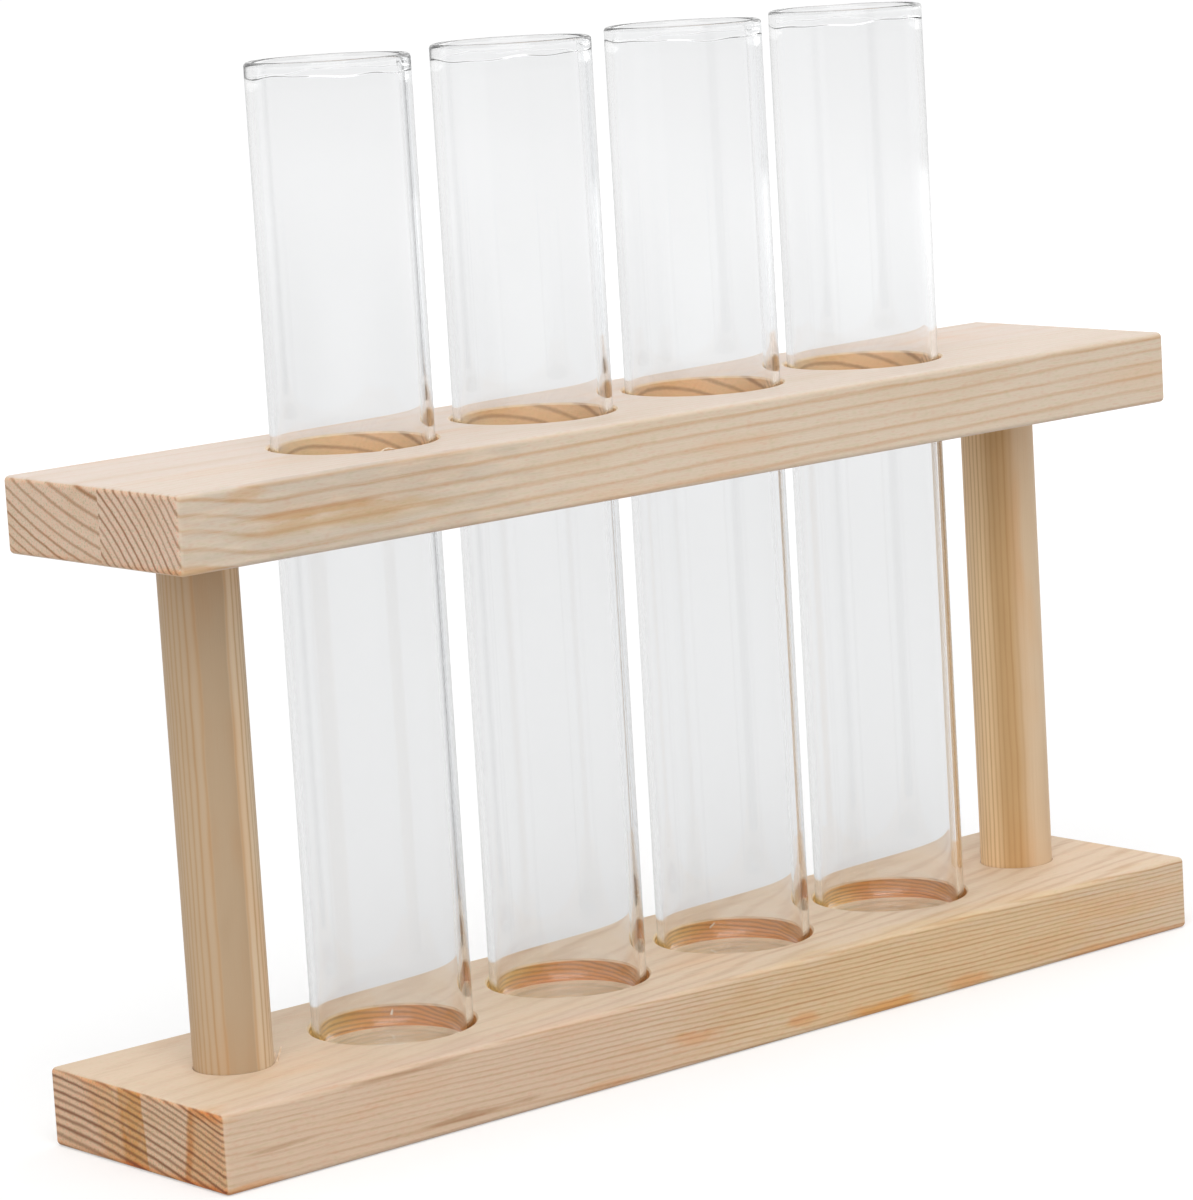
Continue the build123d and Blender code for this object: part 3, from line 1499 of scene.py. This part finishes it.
@dataclass(frozen=True)
class PaleFloor:
    """A floor that looks white and still takes the object's shadow.

    It glows a little, but only where the camera sees it, straight, through glass or in a gloss.

    Attributes:
        reach: Half its width, in metres.
        drop: How far it lies under the rack, in metres.
        colour: Its colour.
        lift: Glow that the camera sees straight.
        far_lift: What is added to that glow far away.
        far: Distances between which that comes in, in metres.
        through_lift: Glow that shows through glass.
        through_near: What is added to that within a short distance.
        near_glass: Distances between which that comes in, in metres.
        through_far: What is added to it far away.
        far_glass: Distances between which that comes in, in metres.
        mirrored_lift: Most glow that shows in a gloss.
        mirrored: Distances towards the backdrop between which that comes in, in metres.
        backdrop_side: Direction of the backdrop.
    """

    reach: float = 6.0
    drop: float = 0.00005
    colour: Colour = (0.6, 0.6, 0.6, 1.0)
    lift: float = 0.42
    far_lift: float = 0.25
    far: Pair = (0.2, 1.2)
    through_lift: float = 0.19
    through_near: float = 0.055
    near_glass: Pair = (0.0, 0.4)
    through_far: float = 0.28
    far_glass: Pair = (0.3, 2.2)
    mirrored_lift: float = 0.4
    mirrored: Pair = (-0.5, 0.5)
    backdrop_side: Point = BACKDROP_SIDE

    def material(self) -> bpy.types.Material:
        """Build the floor's material.

        Returns:
            The material.
        """
        made = new_material("pale_floor")
        recipe = Recipe(made.node_tree)
        matt = recipe.node("ShaderNodeBsdfDiffuse", None, {"Color": self.colour})
        where = recipe.node("ShaderNodeTexCoord", None, None, "Object")
        away, towards = recipe.length(where), recipe.towards(where, self.backdrop_side)
        straight = recipe.rays("Is Camera Ray")
        through = straight.other("Is Transmission Ray")
        in_gloss = straight.other("Is Glossy Ray") * (1.0 - through)
        seen = away.rise(*self.far) * self.far_lift + self.lift
        near = away.rise(*self.near_glass) * self.through_near
        behind_glass = near + away.rise(*self.far_glass) * self.through_far
        lift = straight * seen + through * (behind_glass + self.through_lift)
        lift = lift + in_gloss * towards.rise(*self.mirrored) * self.mirrored_lift
        glow = recipe.node("ShaderNodeEmission", None, {"Color": WHITE, "Strength": lift})
        both = recipe.node("ShaderNodeAddShader", None, {0: matt, 1: glow})
        recipe.close("ShaderNodeOutputMaterial", both)
        return made

    def build(self) -> None:
        """Lay the floor."""
        mesh = bpy.data.meshes.new("floor")
        shape = bmesh.new()
        bmesh.ops.create_grid(shape, x_segments=1, y_segments=1, size=self.reach)
        shape.to_mesh(mesh)
        shape.free()
        mesh.materials.append(self.material())
        floor = bpy.data.objects.new("floor", mesh)
        floor.location.z = -self.drop
        bpy.context.scene.collection.objects.link(floor)
        log.info("floor is in place")


@dataclass(frozen=True)
class Backdrop:
    """Even light all round, and a white backdrop that the camera sees.

    Attributes:
        around: Light from all sides.
        behind: How much more of it comes from the backdrop's side.
        side: Direction of the backdrop.
        camera_side: Brightness opposite the backdrop, as glass and glosses show it.
        turn_over: Share towards the backdrop between which that brightness rises to white.
        dark_band: Brightness left in a band above, which darkens the glass's edges.
        band: Heights between which the band lies, and the softness of its edges.
    """

    around: float = 0.55
    behind: float = 0.2
    side: Point = BACKDROP_SIDE
    camera_side: float = 0.82
    turn_over: Pair = (-0.4, 0.3)
    dark_band: float = 0.2
    band: Point = (0.5, 0.8, 0.2)

    def build(self) -> None:
        """Make it the scene's world."""
        world = bpy.data.worlds.new("studio")
        bpy.context.scene.world = world
        world.use_nodes = True
        recipe = Recipe(world.node_tree)
        ray = recipe.node("ShaderNodeTexCoord", None, None, "Generated")
        up = recipe.node("ShaderNodeSeparateXYZ", None, {0: ray}, "Z")
        towards = recipe.towards(ray, self.side)
        straight = recipe.rays("Is Camera Ray")
        through = straight.other("Is Transmission Ray")
        seen = straight.at_least(straight.other("Is Glossy Ray")).at_least(through)
        room = towards * self.behind + self.around
        shown = towards.rise(*self.turn_over) * (1.0 - self.camera_side) + self.camera_side
        shown = shown * (1.0 - up.between(*self.band) * through * (1.0 - self.dark_band))
        strength = room + (shown.at_least(straight) - room) * seen
        sky = recipe.node("ShaderNodeBackground", None, {"Color": WHITE, "Strength": strength})
        recipe.close("ShaderNodeOutputWorld", sky)
        log.info("backdrop is in place")


@dataclass(frozen=True)
class PhotoCamera:
    """The camera, where the photograph was taken from.

    Attributes:
        place: Where it stands, in metres.
        turn: Its turn round the upright, in degrees.
        tilt: How far it looks down, in degrees.
        roll: Its turn round its own axis, in degrees.
        lens: Focal length, in millimetres.
        clip: Nearest and farthest distance that it sees, in metres.
    """

    place: Point = (-0.4772267, -0.5624538, 0.1896674)
    turn: float = -39.8964
    tilt: float = 9.256
    roll: float = -3.4548
    lens: float = 143.325
    clip: Pair = (0.01, 50.0)

    def build(self) -> None:
        """Set up the camera and make it the scene's own."""
        turn, tilt, roll = (math.radians(angle) for angle in (self.turn, self.tilt, self.roll))
        back = Vector((math.sin(turn) * math.cos(tilt), -math.cos(turn) * math.cos(tilt), math.sin(tilt)))
        level = (-back).cross(Vector((0.0, 0.0, 1.0))).normalized()
        upright = level.cross(-back)
        right = level * math.cos(roll) + upright * math.sin(roll)
        up = upright * math.cos(roll) - level * math.sin(roll)
        data = bpy.data.cameras.new("photo_camera")
        data.lens = self.lens
        data.clip_start, data.clip_end = self.clip
        camera = bpy.data.objects.new("photo_camera", data)
        axes = Matrix((right, up, back)).transposed().to_4x4()
        camera.matrix_world = Matrix.Translation(self.place) @ axes
        bpy.context.scene.collection.objects.link(camera)
        bpy.context.scene.camera = camera
        bpy.context.scene.view_settings.view_transform = "Standard"
        log.info("camera is in place")


@dataclass(frozen=True)
class Studio:
    """A pale floor, soft lamps and the camera at the photograph's angle.

    Attributes:
        floor: The floor.
        backdrop: The light all round.
        softboxes: The lamps.
        camera: The camera.
    """

    floor: PaleFloor = PaleFloor()
    backdrop: Backdrop = Backdrop()
    softboxes: tuple[Softbox, ...] = (
        Softbox("key_softbox", (-0.62, -0.82, 1.5), (1.3, 1.3), 12.5),
        Softbox("low_softbox", (-0.75, -0.95, 0.56), (1.5, 0.6), 3.4),
        Softbox("top_softbox", (-0.15, -0.25, 1.6), (1.3, 1.3), 3.0),
        Softbox("side_softbox", (1.5, 0.4, 0.7), (0.9, 1.2), 4.0),
    )
    camera: PhotoCamera = PhotoCamera()

    def build(self) -> None:
        """Build the whole studio."""
        for thing in (self.floor, self.backdrop, *self.softboxes, self.camera):
            thing.build()


def main() -> None:
    """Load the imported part, dress it, and set up the studio."""
    logging.basicConfig(level=logging.INFO, format="%(message)s")
    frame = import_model()
    Rack(frame["nodes"]).dress()
    TornFibres().build()
    TubeRow(frame["nodes"]).build()
    Studio().build()


if __name__ == "__main__":
    main()
